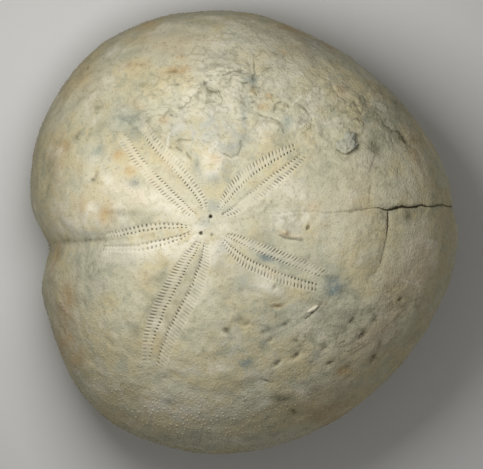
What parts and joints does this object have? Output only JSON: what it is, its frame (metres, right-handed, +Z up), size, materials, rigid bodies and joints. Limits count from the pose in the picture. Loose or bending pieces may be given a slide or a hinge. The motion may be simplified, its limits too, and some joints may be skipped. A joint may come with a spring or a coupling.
{
  "type": "fossil heart urchin",
  "caption": "Heart-shaped fossil sea urchin test with five petal-shaped pore rows, a front notch and a flat underside that it rests on.",
  "frame": {"origin": "middle of the outline's bounding box, on the resting plane of the flat oral side", "axes": "+Z up from the oral side to the apical disc, +X to the posterior end, -X to the anterior notch, +Y across the widest way"},
  "size_m": [0.0724, 0.0754, 0.04],
  "materials": {
    "fossil_limestone": "matte, weathered stone"
  },
  "bodies": {
    "root": {"test": "fossil_limestone"}
  },
  "joints": []
}
